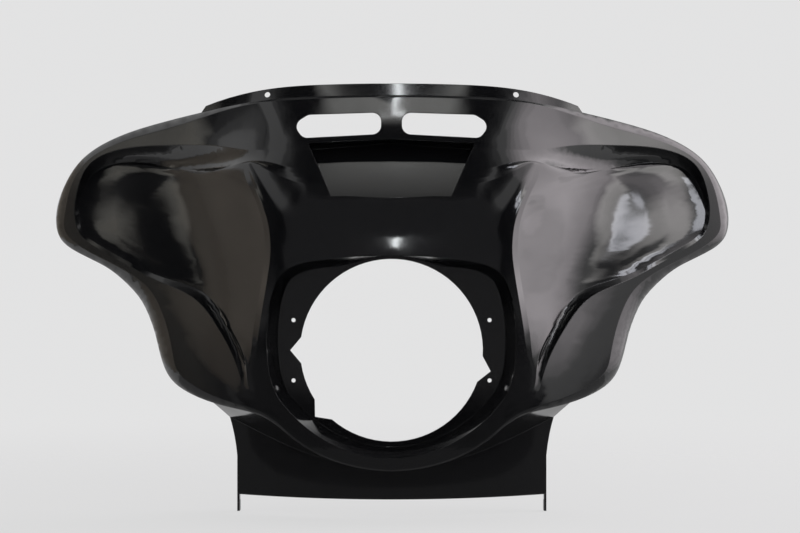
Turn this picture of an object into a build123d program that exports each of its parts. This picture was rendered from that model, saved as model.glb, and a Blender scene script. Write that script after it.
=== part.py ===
# Motorcycle fairing: the one-piece moulded outer shell that carries the headlight and the windshield.
# Millimetres. The front faces -Y and +Z is up.
# The origin is the centre of the headlight opening, on the front face of its flange.
import math
import os

from build123d import *

# Wall of the moulding, and the least radius inside its rolled rim
wall = 3.0
rim_least = 2.0

# Nose and hood: the centre profile leans back above and below its foremost point
nose_y = -75.0
nose_z = 105.0
hood_lean = 0.00271
chin_lean = 0.0008

# Nacelle around the headlight: half width, slope and rounding of its flanks
nacelle_half = 150.0
nacelle_slope = 1.5
nacelle_round = 34.0

# Wings: where they leave the nacelle, how they sweep outwards and lean upwards
root_x = 215.0
root_y = 48.0
root_z = 100.0
wing_sweep = 0.70
wing_lean = 0.21
root_round = 44.0

# Scoop in each wing: the cheek beside the nacelle and the crowned panel
cheek_start = 134.0
cheek_bow = 0.00174
cheek_slope = 1.6
cheek_step = 4.0
cheek_round = 10.0
panel_x = 320.0
panel_y = 119.0
panel_z = 96.0
panel_sweep = 0.60
panel_lean = 0.38
panel_crown = 5.0
crown_across = 100.0
crown_up = 90.0
panel_high = 150.0
valley_round = 25.0
crease_width = 7.0

# Ribs of the right half in the front view, from the bottom centre round the wing to the top centre.
# Each crosses the mouth, the crease, the foot and edge of the scoop's outer wall, and the rim (across, up);
# then the roll radius of the rim, the depth of the edge behind it, the share of the scoop's depth
# and how far the outer wall is hollowed, which makes the gill at its lower end and the cove at its upper end.
ribs = [
    ((0, -126), (0, -131.5), (0, -133.5), (0, -135.5), (0, -142), 2.5, 24, 0, 0),
    ((63, -112), (66, -117.3), (67, -119), (68, -121), (72, -128), 2.5, 24, 0, 0),
    ((110, -80), (114, -84), (116, -86), (118, -88), (124, -96), 3, 26, 0, 0),
    ((131, -56), (140, -61), (144, -63), (148, -65), (160, -74), 5, 28, 0, 0),
    ((139, -40), (160, -44), (166, -47), (172, -50), (215, -64), 9, 30, 0, 0),
    ((143, -26), (166, -26.5), (171, -28), (179, -31), (262, -46), 14, 32, 0.2, 3),
    ((145, -10), (161, -7), (175, -3), (189, -5), (283, -20), 18, 34, 1, 9),
    ((146, 12), (156, 20), (200, 37), (212, 32), (294, 14), 20, 36, 1, 7),
    ((144.5, 40), (151, 50), (233, 70), (243, 63), (310, 50), 20, 36, 1, 3),
    ((140, 66), (146, 78), (288, 88), (292, 83), (332, 76), 15, 36, 1, 0),
    ((135, 80), (142.5, 100), (337, 109), (340, 105), (365, 100), 8, 36, 1, 0),
    ((132, 86), (141, 115), (378, 130), (381, 126), (405, 118), 9, 36, 1, 0),
    ((129.5, 89.5), (141, 127), (398, 146), (402, 143), (433, 138), 12, 36, 1, 0),
    ((127, 92), (142, 138), (405, 168), (410, 166), (440, 168), 15, 36, 1, 0),
    ((124, 94.5), (144, 150), (402, 195), (408, 196), (430, 203), 12, 36, 1, 0),
    ((120, 97), (148, 163), (385, 222), (393, 230), (405, 238), 8, 36, 1, 0),
    ((115, 99.5), (154, 177), (338, 234), (345, 250), (355, 266), 9, 34, 1, 4),
    ((109, 102), (162, 193), (272, 223), (280, 252), (300, 281), 11, 30, 1, 10),
    ((102, 104), (169, 210), (216, 216), (222, 249), (252, 290), 9, 24, 1, 13),
    ((92, 106), (170, 223), (178, 225), (184, 242), (205, 297), 4, 14, 0.2, 5),
    ((70, 109), (120, 202), (120, 217), (120, 240), (135, 304), 3, 12, 0, 0),
    ((38, 111.5), (62, 197), (62, 214), (62, 241), (65, 307), 3, 12, 0, 0),
    ((0, 112), (0, 196), (0, 213), (0, 241), (0, 308), 3, 12, 0, 0),
]

# Headlight bucket: how far its wall draws in, the flange, its opening and its screws
bucket_draw = 10.0
flange = 4.0
flange_least = 4.0
opening_r = 109.0
notch_depth = 12.0
notch_half_angle = 11.0
notch_angles = (180, 221, 348)
screw_x = 117.0
screw_z = 36.0
screw_d = 5.0

# Windshield lip above the hood
lip_top = [(0, 324), (65, 323), (135, 319), (200, 309), (232, 300)]
lip_foot = [(0, 303), (65, 302), (135, 299), (205, 292), (242, 286)]
lip_set = 5.5
lip_depth = 5.0
lip_hole_x = 152.0
lip_hole_z = 310.0
lip_hole_d = 7.0

# Vents in the hood: slot and the ramp that leads to it, which draws in towards its floor
slot = [(12.5, 257.5), (12.5, 285), (100, 282), (118, 270), (105, 252.5)]
slot_corner = 11.0
ramp_foot_z = 180.0
ramp_slope = 0.95
ramp_half_low = 69.0
ramp_half_high = 99.0
ramp_side_z = 246.0
ramp_peak_z = 251.0
ramp_draw = 8.0
ramp_side_fall = 11.0
ramp_peak_fall = 4.0
ramp_depth = 26.0
hood_over = 15.0

# Apron below the headlight, flared into the wings, with a return and a tab at each end
apron_half = 191.0
apron_y = 25.0
apron_wrap = 60.0
apron_low_z = -181.0
crest_z = -143.0
crest_rise = 57.0
crest_flare = 9.0
under_flare = 20.0
edge_flare = 32.0
apron_return = 30.0
tab_z = -202.0
tab_depth = 16.0
apron_back = 3.2
apron_up = 3.2
under_set = 14.0
under_lift = 2.0

# Reach of the cutting bodies past the moulding
past = 150.0


def ramp(t, r):
    return 0.5 * (t + math.hypot(t, r))


def nearer(a, b, r):
    return 0.5 * (a + b - math.hypot(a - b, r))


def nose(z):
    d = z - nose_z
    return nose_y + (hood_lean if d > 0 else chin_lean) * d * d


def skin(x, z):
    x = abs(x)
    turn = nacelle_slope - wing_sweep
    wing = root_y - wing_sweep * root_x + wing_lean * (z - root_z)
    valley = (wing - nose(z) + nacelle_slope * nacelle_half) / turn
    flank = nacelle_slope * ramp(x - nacelle_half, nacelle_round)
    return nose(z) + flank - turn * ramp(x - valley, root_round)


def scoop_floor(x, z):
    start = cheek_start + cheek_bow * (nose_z - z) ** 2
    cheek = nose(z) + cheek_step + cheek_slope * ramp(x - start, cheek_round)
    crown = panel_crown * (((x - panel_x) / crown_across) ** 2 + ((z - panel_high) / crown_up) ** 2)
    panel = panel_y + panel_sweep * (x - panel_x) + panel_lean * (z - panel_z) + crown
    return nearer(cheek, panel, valley_round)


def surface(x, z, share, t):
    depth = max(scoop_floor(x, z) - skin(x, z), 0)
    across = skin(x + 0.5, z) - skin(x - 0.5, z)
    up = skin(x, z + 0.5) - skin(x, z - 0.5)
    return skin(x, z) + share * depth + t * math.sqrt(1 + across * across + up * up)


def mix(p, q, k):
    return (p[0] + (q[0] - p[0]) * k, p[1] + (q[1] - p[1]) * k)


def towards(p, q, d):
    return mix(p, q, d / math.dist(p, q))


def outwards(p, d):
    return towards(p, (0, 0), -d)


def rim_normal(i):
    if i in (0, len(ribs) - 1):
        return (0, 1 if i == 0 else -1)
    (ax, az), (bx, bz) = ribs[i - 1][4], ribs[i + 1][4]
    n = math.hypot(bx - ax, bz - az)
    return ((az - bz) / n, (bx - ax) / n)


def rolled(rim, normal, r, t):
    points = []
    for angle in (0, 44, 88) if t else (0, 30, 59, 88):
        d = t + r * (1 - math.sin(math.radians(angle)))
        x, z = rim[0] + normal[0] * d, rim[1] + normal[1] * d
        points.append((x, surface(x, z, 0, t) + r * (1 - math.cos(math.radians(angle))), z))
    return points


def hollowed(foot, edge, hollow, t):
    x, y, z = [0.5 * (a + b) for a, b in zip(foot, edge)]
    return (x, y + hollow + 0.5 * t * (hollow > 0), z)


def rib_rows(i, t):
    mouth, crease, foot, edge, rim, roll, depth, share, hollow = ribs[i]
    step = towards(crease, foot, min(crease_width, 0.35 * math.dist(crease, foot)))
    mouth = outwards(mouth, t)
    crease, step = towards(crease, foot, -t * share), towards(step, foot, -t * share)
    foot, edge = towards(foot, edge, t * share), towards(edge, rim, t * share)
    roll = rolled(rim, rim_normal(i), max(roll - t, rim_least), t)
    inset = (roll[0][0], roll[0][2])
    land = [mix(mouth, crease, k) for k in (0, 0.5, 1)]
    floor = [mix(step, foot, k) for k in (0, 0.12, 0.25, 0.4, 0.6, 0.8, 1)]
    brow = [mix(edge, inset, k) for k in (0, 0.5)]
    land = [(x, surface(x, z, 0, t), z) for x, z in land]
    floor = [(x, surface(x, z, share, t), z) for x, z in floor]
    brow = [(x, surface(x, z, 0, t), z) for x, z in brow] + roll
    return land, floor, [floor[-1], hollowed(floor[-1], brow[0], hollow, t), brow[0]], brow


def pace(rows):
    shares = [0.0] * (len(ribs) - 1)
    for row in rows:
        steps = [math.dist(p, q) for p, q in zip(row, row[1:])]
        shares = [a + b / sum(steps) for a, b in zip(shares, steps)]
    return [sum(shares[:i]) for i in range(len(ribs))]


def half_ring(row, beat):
    start = (row[1][0] / (beat[1] - beat[0]), 0, 0)
    end = (-row[-2][0] / (beat[-1] - beat[-2]), 0, 0)
    return Wire([Edge.make_spline(row, tangents=[start, end], parameters=beat, scale=False)])


def half_rings(rows):
    beat = pace([[r[k] for r in ribs] for k in range(5)])
    return [half_ring(row, beat) for row in rows]


def strip(*rings):
    return Shell.make_loft(list(rings), ruled=len(rings) == 2).faces()


def skin_rows(t):
    ribs_rows = [rib_rows(i, t) for i in range(len(ribs))]
    return [[list(row) for row in zip(*[r[g] for r in ribs_rows])] for g in range(4)]


def flange_rows(draw, y):
    reach = [max(math.hypot(*r[0]) - bucket_draw, opening_r + flange_least) - draw for r in ribs]
    seat = [towards((0, 0), r[0], d) for r, d in zip(ribs, reach)]
    hole = [towards((0, 0), r[0], opening_r - wall) for r in ribs]
    return [[(x, y, z) for x, z in seat], [(x, y, z) for x, z in hole]]


def shell():
    rows, rows_in = skin_rows(0), skin_rows(wall)
    backs = [p[1] + r[6] for p, r in zip(rows[-1][-1], ribs)]
    land, floor, side, brow = [half_rings(g) for g in rows]
    land_in, floor_in, side_in, brow_in = [half_rings(g) for g in rows_in]
    rear, = half_rings([[(p[0], y, p[2]) for p, y in zip(rows[-1][-1], backs)]])
    rear_in, = half_rings([[(p[0], y, p[2]) for p, y in zip(rows_in[-1][-1], backs)]])
    seat, hole = half_rings(flange_rows(0, 0))
    seat_in, hole_in = half_rings(flange_rows(-wall, flange))
    faces = strip(hole, seat) + strip(seat, land[0]) + strip(*land) + strip(land[-1], floor[0])
    faces += strip(*floor) + strip(*side) + strip(*brow[:3]) + strip(*brow[2:])
    faces += strip(brow[-1], rear) + strip(rear, rear_in) + strip(rear_in, brow_in[-1])
    faces += strip(*brow_in[2:]) + strip(*brow_in[:3]) + strip(*side_in) + strip(*floor_in)
    faces += strip(floor_in[0], land_in[-1]) + strip(*land_in) + strip(land_in[0], seat_in)
    faces += strip(seat_in, hole_in) + strip(hole_in, hole)
    return Solid(Shell(faces + [f.mirror(Plane.YZ) for f in faces]))


def prism(outline, front, back):
    return extrude(Plane.XZ.offset(-back) * outline, back - front)


def pin(x, z, r, y, length):
    return Pos(x, y, z) * Rot(90, 0, 0) * Cylinder(r, length)


def both_sides(points):
    return [(-x, z) for x, z in reversed(points[1:])] + points


def sheet(rows, direction):
    wires = [Wire([Edge.make_spline(row)]) for row in rows]
    face = Shell.make_loft(wires, ruled=len(rows) == 2).faces()[0]
    return Solid(Shell(Solid.extrude(face, Vector(*direction)).faces()))


def windshield_lip():
    rows = [[(x, skin(x, z) + lip_set, z) for x, z in both_sides(line)] for line in (lip_foot, lip_top)]
    return sheet(rows, (0, lip_depth, 0))


def ramp_outline(draw=0.0, side_fall=0.0, peak_fall=0.0):
    high = (ramp_half_high - draw, ramp_side_z - side_fall)
    right = [(0, ramp_peak_z - peak_fall), high, (ramp_half_low - draw, ramp_foot_z)]
    return make_face(Polyline(*(right + [(-x, z) for x, z in reversed(right[1:])]), close=True))


def before_ramp(depth):
    foot, low, high = skin(0, ramp_foot_z) + depth, -past / 3, past
    side = [(-past, low), (foot + ramp_slope * low, low), (foot + ramp_slope * high, high), (-past, high)]
    return extrude(Plane.YZ * Pos(0, ramp_foot_z) * make_face(Polyline(*side, close=True)), past, both=True)


def before_hood(depth):
    low, high = ramp_foot_z - hood_over, ramp_peak_z + hood_over
    heights = [low + (high - low) * k / 3 for k in range(4)]
    across = [ramp_half_high * k / 3 for k in range(-4, 5)]
    return sheet([[(x, skin(x, z) + depth, z) for x in across] for z in heights], (0, -past, 0))


def ramp_tray():
    body = prism(offset(ramp_outline(), wall), -past, past)
    return body & before_ramp(wall * math.hypot(1, ramp_slope)) - before_hood(wall / 2)


def ramp_dent():
    front = skin(0, ramp_peak_z)
    mouth = Plane.XZ.offset(-front) * ramp_outline()
    floor = Plane.XZ.offset(-front - ramp_depth) * ramp_outline(ramp_draw, ramp_side_fall, ramp_peak_fall)
    drawn = loft([mouth, floor], ruled=True)
    return (prism(ramp_outline(), -past, front) + drawn) & before_ramp(0)


def slot_cut(side):
    outline = make_face(Polyline(*[(side * x, z) for x, z in slot], close=True))
    return prism(fillet(outline.vertices(), slot_corner), -past, past)


def rim_low(x):
    for (ax, az), (bx, bz) in zip([r[4] for r in ribs], [r[4] for r in ribs[1:]]):
        if abs(x) <= bx:
            return az + (bz - az) * (abs(x) - ax) / (bx - ax)


def apron_rows(share):
    x = apron_half * share
    y = apron_y + apron_wrap * share ** 2
    crest = crest_z + crest_rise * share ** 2
    crest_x, under_x, edge_x = [x + f * share ** 9 for f in (crest_flare, under_flare, edge_flare)]
    edge = (edge_x, skin(edge_x, rim_low(edge_x)) + under_set, rim_low(edge_x) + under_lift)
    under = (under_x, 0.5 * (y + edge[1]), 0.5 * (crest + edge[2]))
    return (x, y, apron_low_z), (x, y, 0.5 * (apron_low_z + crest)), (crest_x, y, crest), under, edge


def apron():
    rows = [list(row) for row in zip(*[apron_rows(k / 6) for k in range(-6, 7)])]
    return sheet(rows[:3], (0, apron_back, apron_up)) + sheet(rows[2:], (0, apron_back, apron_up))


def end_plate(depth, low, high):
    corner = (Align.MAX, Align.MIN, Align.MIN)
    return Pos(apron_half, apron_y + apron_wrap, low) * Box(wall, depth, high - low, align=corner)


def apron_end(side):
    end = end_plate(apron_return, apron_low_z, crest_z + crest_rise) + end_plate(tab_depth, tab_z, apron_low_z)
    return end if side > 0 else mirror(end, Plane.YZ)


def notch(angle):
    tip = opening_r + notch_depth
    turns = ((opening_r - wall, -notch_half_angle), (tip, 0), (opening_r - wall, notch_half_angle))
    points = [(r * math.cos(math.radians(angle + a)), r * math.sin(math.radians(angle + a))) for r, a in turns]
    return prism(make_face(Polyline(*points, close=True)), -past / 10, past / 10)


def opening():
    cuts = pin(0, 0, opening_r, 0, past)
    for angle in notch_angles:
        cuts += notch(angle)
    for x, z in ((screw_x, screw_z), (-screw_x, screw_z), (-screw_x, -screw_z), (screw_x, -screw_z)):
        cuts += pin(x, z, screw_d / 2, 0, past / 5)
    return cuts


def fairing():
    body = shell() + windshield_lip() + ramp_tray() + apron() + apron_end(1) + apron_end(-1)
    body -= opening()
    body -= ramp_dent()
    for side in (1, -1):
        body -= slot_cut(side)
        body -= pin(side * lip_hole_x, lip_hole_z, lip_hole_d / 2, 0, 2 * past)
    return body


def main():
    os.makedirs("parts", exist_ok=True)
    export_step(fairing(), "parts/fairing_shell.step")


if __name__ == "__main__":
    main()
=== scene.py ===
import itertools
import math

import bmesh
import bpy
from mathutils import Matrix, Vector


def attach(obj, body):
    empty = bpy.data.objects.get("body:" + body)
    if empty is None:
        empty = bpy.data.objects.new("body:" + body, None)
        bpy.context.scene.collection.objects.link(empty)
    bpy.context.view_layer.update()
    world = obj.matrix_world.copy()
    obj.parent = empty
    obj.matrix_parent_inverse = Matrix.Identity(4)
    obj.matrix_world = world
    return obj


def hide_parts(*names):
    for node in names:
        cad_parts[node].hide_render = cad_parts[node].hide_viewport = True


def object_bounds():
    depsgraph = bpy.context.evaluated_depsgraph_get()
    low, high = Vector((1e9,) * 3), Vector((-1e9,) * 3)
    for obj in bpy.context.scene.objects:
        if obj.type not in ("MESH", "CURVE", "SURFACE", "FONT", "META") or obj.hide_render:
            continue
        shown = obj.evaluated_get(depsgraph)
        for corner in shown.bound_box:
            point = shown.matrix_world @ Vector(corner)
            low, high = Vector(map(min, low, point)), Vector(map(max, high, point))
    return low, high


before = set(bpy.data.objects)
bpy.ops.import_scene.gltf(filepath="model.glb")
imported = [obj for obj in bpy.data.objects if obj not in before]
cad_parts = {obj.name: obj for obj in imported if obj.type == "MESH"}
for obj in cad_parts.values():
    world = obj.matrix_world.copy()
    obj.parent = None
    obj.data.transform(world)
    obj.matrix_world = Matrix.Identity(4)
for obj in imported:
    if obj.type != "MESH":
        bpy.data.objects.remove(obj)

cad_low, cad_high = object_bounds()
shell_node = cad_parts["fairing_shell"]

# Camera: level, in front of the headlight opening and a little above and to the right of its centre
camera_place = Vector((0.0101, -2.400, 0.100))
focal_px = 2011.0
image_width_px = 800.0
sensor_mm = 36.0

# Corners of the solid's mesh that are nearer than this are one corner
weld_distance = 0.00002

# Normals are evened out along the surface: how far in one pass, how little across a fold, and how often
evening_reach = 0.008
fold_power = 3
evening_passes = 6

# Seam on the centre plane, where the two halves meet: its widest angle, and its weight in the evening
seam_angle = math.radians(16)
seam_share = 4.0

# Colours: paint on the outside, bare moulding inside
paint_black = (0.0042, 0.0043, 0.0050, 1)
dust_grey = (0.30, 0.29, 0.27, 1)
moulding_black = (0.030, 0.030, 0.032, 1)

# A face that looks this far to the rear, on a scale from 0 to 1, turns from paint to bare moulding
inside_range = (0.53, 0.62)

# Patterns: how fine, how detailed, the part of the noise that shows, and how much the dust covers
peel_scale, peel_detail = 240.0, 2.0
moulding_scale, moulding_detail = 1400.0, 3.0
film_scale, film_detail, film_roughness = 8.0, 4.0, 0.6
film_range = (0.42, 0.74)
dust_scale, dust_detail = 950.0, 1.0
dust_range = (0.67, 0.75)
dust_cover = 0.07

# Roughness of clean paint, and what the film, the dust and bare moulding add to it
gloss_roughness = 0.075
film_haze = 0.05
dust_haze = 0.06
moulding_haze = 0.42

# Relief of the paint and the moulding, and the small round that both leave on an edge
relief_strength = 0.03
relief_depth = 0.0004
peel_height = 0.5
edge_round = 0.0013
edge_samples = 6

# Studio: surround, pale where it is seen and dim as a light, and a round floor that fades into it
pale = (0.765, 0.765, 0.768, 1)
dim = (0.55, 0.55, 0.55, 1)
floor_gap = 0.001
floor_radius = 2.0
floor_sides = 96
floor_fade = (0.55, 1.70)
floor_glow = 0.82

# Soft edges: cards and softboxes are stacks of these sizes; shade of one sheet, and step between layers
feather = (1.32, 1.16, 1.0, 0.84, 0.68)
card_shade = 0.50
layer_step = 0.01

# Cards that only reflections show: colour, centre, aim, width and height; one lies just over the floor
card_black = (0.012, 0.012, 0.014, 1)
card_grey = (0.26, 0.26, 0.27, 1)
card_brown = (0.62, 0.55, 0.46, 1)
floor_card_height = cad_low.z - floor_gap / 2
cards = {
    "front_card": (card_grey, (0.0, -3.3, 1.6), (0.0, 0.0, 1.6), 6.4, 3.6),
    "top_card": (card_black, (0.0, -0.75, 3.0), (0.0, -0.75, 0.0), 2.6, 3.9),
    "left_card": (card_black, (-2.7, -1.50, 1.4), (0.0, -1.2, 1.4), 3.4, 3.0),
    "left_low_card": (card_brown, (-2.75, 0.45, 0.45), (0.0, 0.45, 0.45), 0.9, 1.3),
    "left_back_card": (card_brown, (-2.85, 1.55, 0.55), (0.0, 0.10, 0.15), 2.0, 1.5),
    "right_card": (card_black, (2.7, -2.1, 1.4), (0.0, -2.1, 1.4), 2.6, 3.2),
    "back_card": (card_black, (0.0, 2.6, 2.2), (0.0, 0.0, 0.0), 2.4, 1.6),
    "floor_card": (card_black, (0.0, -1.16, floor_card_height), (0.0, -1.16, 1.0), 2.6, 2.08),
}

# Softboxes: centre, aim, width, height, brightness and tint
softboxes = {
    "right_softbox": ((2.15, 0.85, 1.05), (0.25, 0.10, 0.12), 1.7, 2.5, 2.1, (1.0, 0.91, 0.96)),
    "right_strip": ((2.05, -0.12, 0.96), (0.26, 0.11, 0.27), 0.50, 0.36, 2.8, (1.0, 0.97, 0.95)),
    "left_strip": ((-2.6, -0.02, 1.14), (-0.26, 0.11, 0.27), 0.60, 0.44, 0.9, (1.0, 0.97, 0.88)),
    "left_low_strip": ((-2.5, -0.05, 0.42), (-0.26, 0.11, 0.05), 1.2, 0.60, 0.18, (1.0, 0.94, 0.82)),
    "top_softbox": ((0.0, 0.15, 2.40), (0.0, 0.15, 0.0), 0.36, 0.40, 1.9, (1.0, 1.0, 0.97)),
}

# Bare lamps, with the same values
lamps = {
    "tube_lamp": ((0.012, 0.29, 2.35), (0.012, 0.29, 0.0), 0.022, 0.52, 18.0, (0.94, 0.98, 1.0)),
    "front_lamp": ((0.035, -3.0, 0.97), (0.0, 0.0, 0.12), 0.08, 0.22, 28.0, (0.94, 0.99, 1.0)),
}

# Window on the right: centre, aim, pane size, gap between panes, brightness, tint, and each pane's side
window_place = (2.13, -0.50, 1.28)
window_aim = (0.28, 0.12, 0.15)
pane_size = (0.21, 0.17)
pane_gap = 0.035
pane_glow = 7.0
pane_tint = (0.90, 0.92, 1.0)
panes = {"low_left": (-1, -1), "low_right": (1, -1), "high_left": (-1, 1), "high_right": (1, 1)}


class Wire:
    """A shader socket that can be used in sums."""

    def __init__(self, tree, socket):
        self.tree = tree
        self.socket = socket

    def maths(self, operation, a, b):
        node = self.tree.nodes.new("ShaderNodeMath")
        node.operation = operation
        for slot, value in zip(node.inputs, (a, b)):
            if isinstance(value, Wire):
                self.tree.links.new(value.socket, slot)
            else:
                slot.default_value = value
        return Wire(self.tree, node.outputs[0])

    def __add__(self, other):
        return self.maths("ADD", self, other)

    def __radd__(self, other):
        return self.maths("ADD", other, self)

    def __sub__(self, other):
        return self.maths("SUBTRACT", self, other)

    def __rsub__(self, other):
        return self.maths("SUBTRACT", other, self)

    def __mul__(self, other):
        return self.maths("MULTIPLY", self, other)

    def __rmul__(self, other):
        return self.maths("MULTIPLY", other, self)


class Finish:
    """The nodes of a material, or of the surround."""

    def __init__(self, owner):
        self.owner = owner
        owner.use_nodes = True
        self.tree = owner.node_tree
        self.tree.nodes.clear()

    def node(self, kind, output=0, settings=None, inputs=()):
        made = self.tree.nodes.new(kind)
        for name, value in (settings or {}).items():
            if name == "stops":
                self.stops(made.color_ramp, value)
            else:
                setattr(made, name, value)
        for name, value in dict(inputs).items():
            slot = made.inputs[self.index(made, name)]
            if isinstance(value, Wire):
                self.tree.links.new(value.socket, slot)
            else:
                slot.default_value = value
        return Wire(self.tree, made.outputs[output])

    def index(self, made, name):
        if isinstance(name, int):
            return name
        return next(i for i, slot in enumerate(made.inputs) if slot.enabled and slot.name == name)

    def stops(self, ramp, stops):
        while len(ramp.elements) < len(stops):
            ramp.elements.new(0.5)
        for element, (place, shade) in zip(ramp.elements, stops):
            element.position = place
            element.color = (shade, shade, shade, 1)

    def noise(self, place, scale, detail, roughness=0.5):
        inputs = {"Vector": place, "Scale": scale, "Detail": detail, "Roughness": roughness}
        return self.node("ShaderNodeTexNoise", inputs=inputs)

    def step(self, value, low, high):
        stops = [(low, 0.0), (high, 1.0)]
        return self.node("ShaderNodeValToRGB", settings={"stops": stops}, inputs={"Fac": value})

    def blend(self, share, a, b):
        inputs = {"Factor": share, "A": a, "B": b}
        return self.node("ShaderNodeMix", output=2, settings={"data_type": "RGBA"}, inputs=inputs)

    def layered(self, share, under, over):
        return self.node("ShaderNodeMixShader", inputs={0: share, 1: under, 2: over})

    def seen(self):
        """Rays of the camera, of gloss and of glass, which all show the pale surround."""
        rays = [self.node("ShaderNodeLightPath", output=name) for name in
                ("Is Camera Ray", "Is Glossy Ray", "Is Transmission Ray")]
        return sum(rays[1:], rays[0])

    def output(self, surface, kind="ShaderNodeOutputMaterial"):
        end = self.tree.nodes.new(kind)
        self.tree.links.new(surface.socket, end.inputs["Surface"])
        return self.owner


def gloss_black():
    paint = Finish(bpy.data.materials.new("gloss_black_paint"))
    place = paint.node("ShaderNodeTexCoord", output="Object")
    facing = paint.node("ShaderNodeTexCoord", output="Normal")
    inside = paint.node("ShaderNodeSeparateXYZ", output="Y", inputs={"Vector": facing})
    inside = paint.step(inside * 0.5 + 0.5, *inside_range)
    peel = paint.noise(place, peel_scale, peel_detail)
    moulding = paint.noise(place, moulding_scale, moulding_detail)
    film = paint.step(paint.noise(place, film_scale, film_detail, film_roughness), *film_range)
    dust = paint.step(paint.noise(place, dust_scale, dust_detail), *dust_range)
    painted = paint.blend(dust * film * dust_cover, paint_black, dust_grey)
    colour = paint.blend(inside, painted, moulding_black)
    roughness = gloss_roughness + film * film_haze + dust * dust_haze + inside * moulding_haze
    smooth = {"samples": edge_samples}
    rounded = paint.node("ShaderNodeBevel", settings=smooth, inputs={"Radius": edge_round})
    height = peel * (1 - inside) * peel_height + moulding * inside
    relief = {"Strength": relief_strength, "Distance": relief_depth, "Height": height, "Normal": rounded}
    bump = paint.node("ShaderNodeBump", inputs=relief)
    shine = {"Base Color": colour, "Roughness": roughness, "Normal": bump}
    return paint.output(paint.node("ShaderNodeBsdfPrincipled", inputs=shine))


def pale_floor():
    floor = Finish(bpy.data.materials.new("pale_floor"))
    place = floor.node("ShaderNodeTexCoord", output="Object")
    length = {"operation": "LENGTH"}
    reach = floor.node("ShaderNodeVectorMath", output="Value", settings=length, inputs={0: place})
    fade = {"Value": reach, "From Min": floor_fade[0], "From Max": floor_fade[1]}
    fade = floor.node("ShaderNodeMapRange", settings={"interpolation_type": "SMOOTHSTEP"}, inputs=fade)
    matte = floor.node("ShaderNodeBsdfDiffuse", inputs={"Color": pale})
    glow = floor.node("ShaderNodeEmission", inputs={"Color": pale})
    ground = floor.layered(floor.seen() * floor_glow, matte, glow)
    return floor.output(floor.layered(fade, ground, floor.node("ShaderNodeBsdfTransparent")))


def card_paper(name, colour):
    paper = Finish(bpy.data.materials.new(name))
    matte = paper.node("ShaderNodeBsdfDiffuse", inputs={"Color": colour})
    return paper.output(paper.layered(card_shade, paper.node("ShaderNodeBsdfTransparent"), matte))


def surround():
    world = bpy.data.worlds.new("studio")
    bpy.context.scene.world = world
    light = Finish(world)
    shown = light.blend(light.seen(), dim, pale)
    light.output(light.node("ShaderNodeBackground", inputs={"Color": shown}), "ShaderNodeOutputWorld")


def mesh_object(name, bm, material):
    mesh = bpy.data.meshes.new(name)
    bm.to_mesh(mesh)
    bm.free()
    mesh.materials.append(material)
    piece = bpy.data.objects.new(name, mesh)
    bpy.context.scene.collection.objects.link(piece)
    return piece


def surface_links(mesh):
    """Neighbours along the surface, with a share that falls off with their distance."""
    links = []
    for edge in mesh.edges:
        a, b = edge.vertices
        reach = (mesh.vertices[a].co - mesh.vertices[b].co).length / evening_reach
        links.append((a, b, math.exp(-reach * reach)))
    return links


def seam_links(mesh, normals):
    """Corners of the two halves that lie on each other on the centre plane."""
    places = {}
    for vertex in mesh.vertices:
        if abs(vertex.co.x) < weld_distance:
            key = tuple(round(value / weld_distance) for value in vertex.co)
            places.setdefault(key, []).append(vertex.index)
    pairs = [pair for twins in places.values() for pair in itertools.combinations(twins, 2)]
    return [(a, b, seam_share) for a, b in pairs if normals[a].dot(normals[b]) > math.cos(seam_angle)]


def even_normals(mesh):
    """The normals of the solid's mesh, each evened out with those near it on the same side of a fold."""
    normals = [None] * len(mesh.vertices)
    for loop, corner in zip(mesh.loops, mesh.corner_normals):
        normals[loop.vertex_index] = corner.vector.copy()
    links = surface_links(mesh) + seam_links(mesh, normals)
    for _ in range(evening_passes):
        sums = [normal.copy() for normal in normals]
        for a, b, share in links:
            share *= max(0.0, normals[a].dot(normals[b])) ** fold_power
            sums[a] += share * normals[b]
            sums[b] += share * normals[a]
        normals = [total.normalized() for total in sums]
    return normals


def moulded_shell():
    normals = even_normals(shell_node.data)
    bm = bmesh.new()
    bm.from_mesh(shell_node.data)
    kept = bm.loops.layers.float_vector.new("evened")
    for face in bm.faces:
        face.smooth = True
        for loop in face.loops:
            loop[kept] = normals[loop.vert.index]
    bmesh.ops.remove_doubles(bm, verts=bm.verts, dist=weld_distance)
    piece = mesh_object("moulded_shell", bm, gloss_black())
    evened = piece.data.attributes["evened"]
    piece.data.normals_split_custom_set([corner.vector for corner in evened.data])
    piece.data.attributes.remove(piece.data.attributes["evened"])
    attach(piece, "root")
    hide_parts("fairing_shell")


def aimed(place, aim):
    return (Vector(aim) - Vector(place)).to_track_quat("-Z", "Y")


def lamp_panel(name, place, aim, width, height, glow, tint):
    lamp = bpy.data.lights.new(name, "AREA")
    lamp.shape = "RECTANGLE"
    lamp.size = width
    lamp.size_y = height
    lamp.energy = math.pi * width * height * glow
    lamp.color = tint
    box = bpy.data.objects.new(name, lamp)
    box.location = place
    box.rotation_mode = "QUATERNION"
    box.rotation_quaternion = aimed(place, aim)
    bpy.context.scene.collection.objects.link(box)


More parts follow.
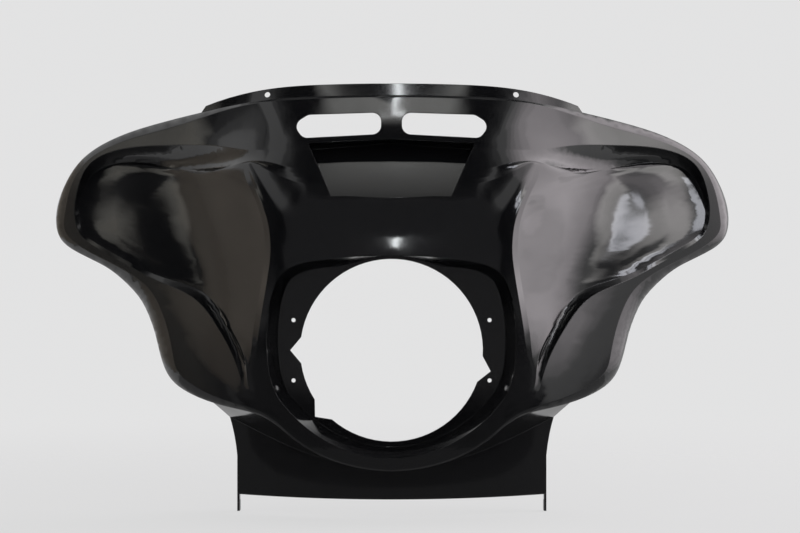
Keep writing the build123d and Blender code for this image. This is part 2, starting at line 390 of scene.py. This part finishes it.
def softbox(name, place, aim, width, height, glow, tint):
    toward = (Vector(aim) - Vector(place)).normalized()
    for layer, size in enumerate(feather):
        layer_place = Vector(place) + layer * layer_step * toward
        lamp_panel(name, layer_place, aim, size * width, size * height, glow / len(feather), tint)


def window():
    turn = aimed(window_place, window_aim)
    step = [size + pane_gap for size in pane_size]
    for name, (across, up) in panes.items():
        shift = turn @ Vector((across * step[0] / 2, up * step[1] / 2, 0))
        place = Vector(window_place) + shift
        lamp_panel("pane_" + name, place, Vector(window_aim) + shift, *pane_size, pane_glow, pane_tint)


def card(name, colour, place, aim, width, height):
    bm = bmesh.new()
    for layer, size in enumerate(feather):
        sheet = bmesh.ops.create_grid(bm, x_segments=1, y_segments=1, size=0.5)["verts"]
        bmesh.ops.scale(bm, verts=sheet, vec=(size * width, size * height, 1))
        bmesh.ops.translate(bm, verts=sheet, vec=(0, 0, -layer * layer_step))
    bmesh.ops.rotate(bm, verts=bm.verts, matrix=aimed(place, aim).to_matrix())
    bmesh.ops.translate(bm, verts=bm.verts, vec=place)
    stack = mesh_object(name, bm, card_paper(name, colour))
    stack.visible_camera = False
    stack.visible_diffuse = False
    stack.visible_shadow = False


def studio():
    bm = bmesh.new()
    bmesh.ops.create_circle(bm, cap_ends=True, segments=floor_sides, radius=floor_radius)
    bmesh.ops.translate(bm, verts=bm.verts, vec=(0, 0, cad_low.z - floor_gap))
    mesh_object("studio_floor", bm, pale_floor())
    for name, values in cards.items():
        card(name, *values)
    for name, values in softboxes.items():
        softbox(name, *values)
    for name, values in lamps.items():
        lamp_panel(name, *values)
    window()
    surround()


def camera():
    lens = bpy.data.cameras.new("camera")
    lens.sensor_width = sensor_mm
    lens.lens = focal_px / image_width_px * sensor_mm
    eye = bpy.data.objects.new("camera", lens)
    eye.location = camera_place
    eye.rotation_euler = (math.radians(90), 0, 0)
    bpy.context.scene.collection.objects.link(eye)
    bpy.context.scene.camera = eye


bpy.context.scene.view_settings.view_transform = "Standard"
moulded_shell()
studio()
camera()
